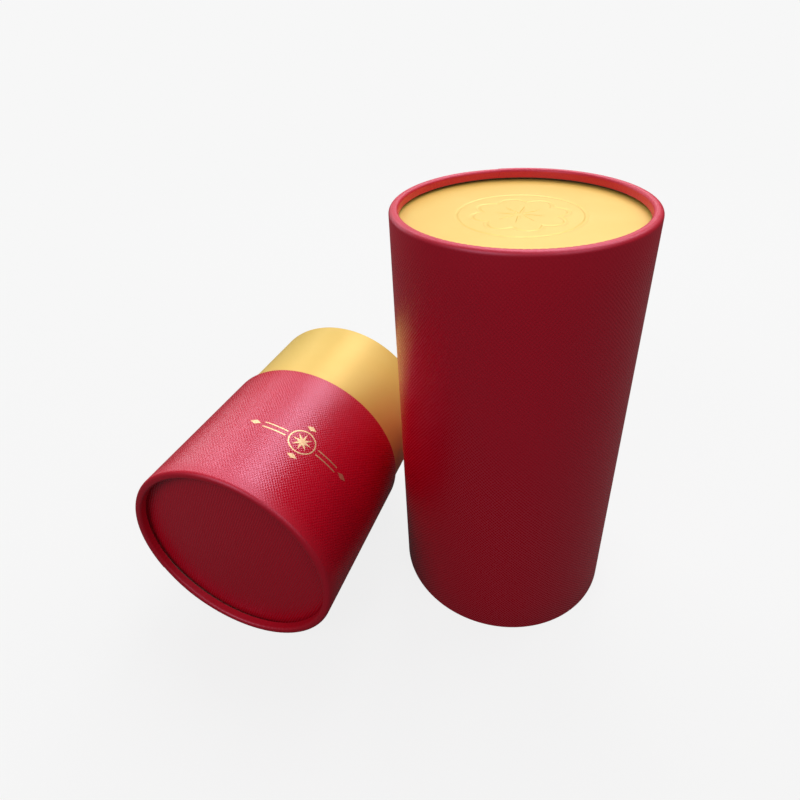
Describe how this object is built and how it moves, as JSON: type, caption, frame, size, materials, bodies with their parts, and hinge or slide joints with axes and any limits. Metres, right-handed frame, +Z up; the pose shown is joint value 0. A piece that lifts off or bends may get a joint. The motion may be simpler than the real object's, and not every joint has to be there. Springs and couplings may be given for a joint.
{
  "type": "cylindrical gift tube box",
  "caption": "Cylindrical gift tube: a tall cover with a rolled rim and recessed top, and a short base with an inner neck that the cover slides over.",
  "frame": {"origin": "centre of the cover's mouth, on the surface that both halves rest on", "axes": "+Z up along the cover's axis; +X across the row, from the lying base to the standing cover; +Y along the lying base, from its rolled rim to its neck"},
  "size_m": [0.1945, 0.1312, 0.1802],
  "materials": {
    "red_embossed_paper": "satin",
    "gold_paper": "satin",
    "greyboard": "matte",
    "lining_card": "matte",
    "gold_foil": "satin"
  },
  "bodies": {
    "base": {"base_liner": "lining_card", "base_tube": "greyboard", "base_wrap": "red_embossed_paper", "base_bottom_board": "greyboard", "base_bottom_paper": "red_embossed_paper", "base_floor_card": "lining_card", "neck_tube": "greyboard", "neck_wrap": "gold_paper", "neck_lining": "lining_card", "foil_ornament": "gold_foil"},
    "cover": {"cover_liner": "lining_card", "cover_tube": "greyboard", "cover_wrap": "red_embossed_paper", "cover_top_board": "greyboard", "cover_top_paper": "gold_paper", "cover_ceiling_card": "lining_card"}
  },
  "joints": [
    {"name": "cover_lift", "type": "slide", "parent": "base", "child": "cover", "axis": [0, 0, 1], "range_m": [0, 0.13]}
  ]
}
